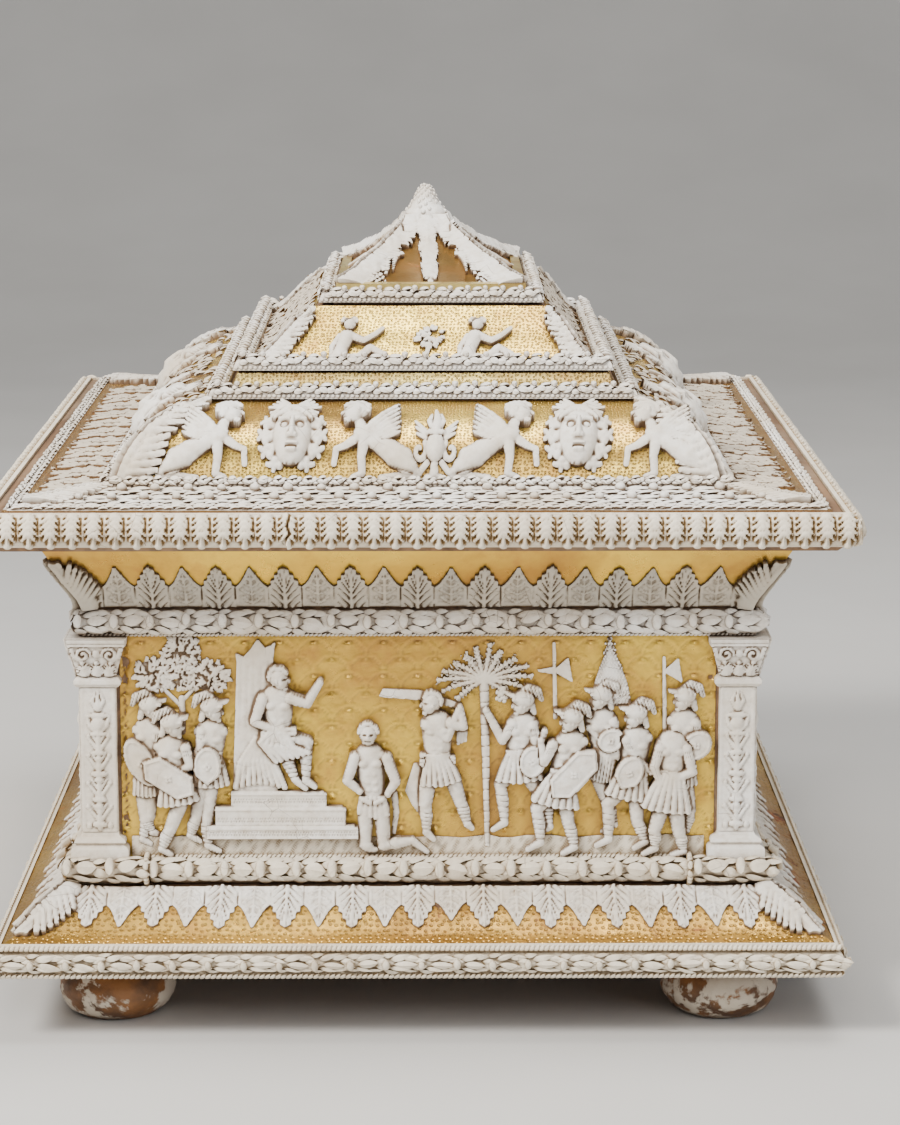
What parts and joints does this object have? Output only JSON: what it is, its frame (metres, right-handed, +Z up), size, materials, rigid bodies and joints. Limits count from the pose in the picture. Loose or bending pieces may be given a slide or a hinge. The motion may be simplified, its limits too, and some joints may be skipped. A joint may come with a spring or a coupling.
{
  "type": "reliquary casket",
  "caption": "Hollow gilded wooden casket on bun feet with a stepped lift-off lid, dressed in cast white pastiglia mouldings, pilasters and figure reliefs.",
  "frame": {"origin": "centre of the box's plan, on the surface the feet stand on", "axes": "+Z up, front face towards -Y, +X to the right seen from the front"},
  "size_m": [0.2986, 0.3546, 0.2829],
  "materials": {
    "gilding": "burnished and punched leaf gold over red bole on wood, worn to bole and wood",
    "worn_foot": "turned wood, white ground and gold worn through to brown",
    "cream_pastiglia": "cast lead-white paste, toned cream with grime in the hollows",
    "white_pastiglia": "cast lead-white paste, matt and chalky, grime in the hollows"
  },
  "bodies": {
    "root": {"box_carcass": "gilding", "foot_front_right": "worn_foot", "foot_back_right": "worn_foot", "foot_back_left": "worn_foot", "foot_front_left": "worn_foot", "base_edge_moulding": "cream_pastiglia", "pilaster_front_right": "white_pastiglia", "garland_corner_front_right": "cream_pastiglia", "pilaster_back_right": "white_pastiglia", "garland_corner_back_right": "cream_pastiglia", "pilaster_back_left": "white_pastiglia", "garland_corner_back_left": "cream_pastiglia", "pilaster_front_left": "white_pastiglia", "garland_corner_front_left": "cream_pastiglia", "skirt_leaves_front": "white_pastiglia", "cornice_leaves_front": "white_pastiglia", "lower_garland_front": "cream_pastiglia", "skirt_leaves_right": "white_pastiglia", "cornice_leaves_right": "white_pastiglia", "lower_garland_right": "cream_pastiglia", "skirt_leaves_back": "white_pastiglia", "cornice_leaves_back": "white_pastiglia", "lower_garland_back": "cream_pastiglia", "skirt_leaves_left": "white_pastiglia", "cornice_leaves_left": "white_pastiglia", "lower_garland_left": "cream_pastiglia", "upper_garland": "white_pastiglia", "relief_soldiers_left": "white_pastiglia", "relief_throne": "white_pastiglia", "relief_kneeling_man": "white_pastiglia", "relief_executioner": "white_pastiglia", "relief_palm_and_army": "white_pastiglia", "ground_strip_front": "cream_pastiglia", "ground_strip_right": "cream_pastiglia", "relief_right": "white_pastiglia", "ground_strip_back": "cream_pastiglia", "relief_back": "white_pastiglia", "ground_strip_left": "cream_pastiglia", "relief_left": "white_pastiglia", "lid_carcass": "gilding", "lid_edge_moulding": "cream_pastiglia", "lid_flange_wreath": "white_pastiglia", "lid_foot_wreath": "white_pastiglia", "lid_middle_wreath": "white_pastiglia", "lid_upper_wreath": "white_pastiglia", "lid_crown_wreath": "white_pastiglia", "lid_crown": "gilding", "lid_finial": "white_pastiglia", "mask_front_left": "white_pastiglia", "mask_front_right": "white_pastiglia", "mask_right_left": "white_pastiglia", "mask_right_right": "white_pastiglia", "mask_left_left": "white_pastiglia", "mask_left_right": "white_pastiglia", "sphinx_outer_left": "white_pastiglia", "sphinx_inner_left": "white_pastiglia", "sphinx_inner_right": "white_pastiglia", "sphinx_outer_right": "white_pastiglia", "candelabrum": "white_pastiglia"}
  },
  "joints": []
}
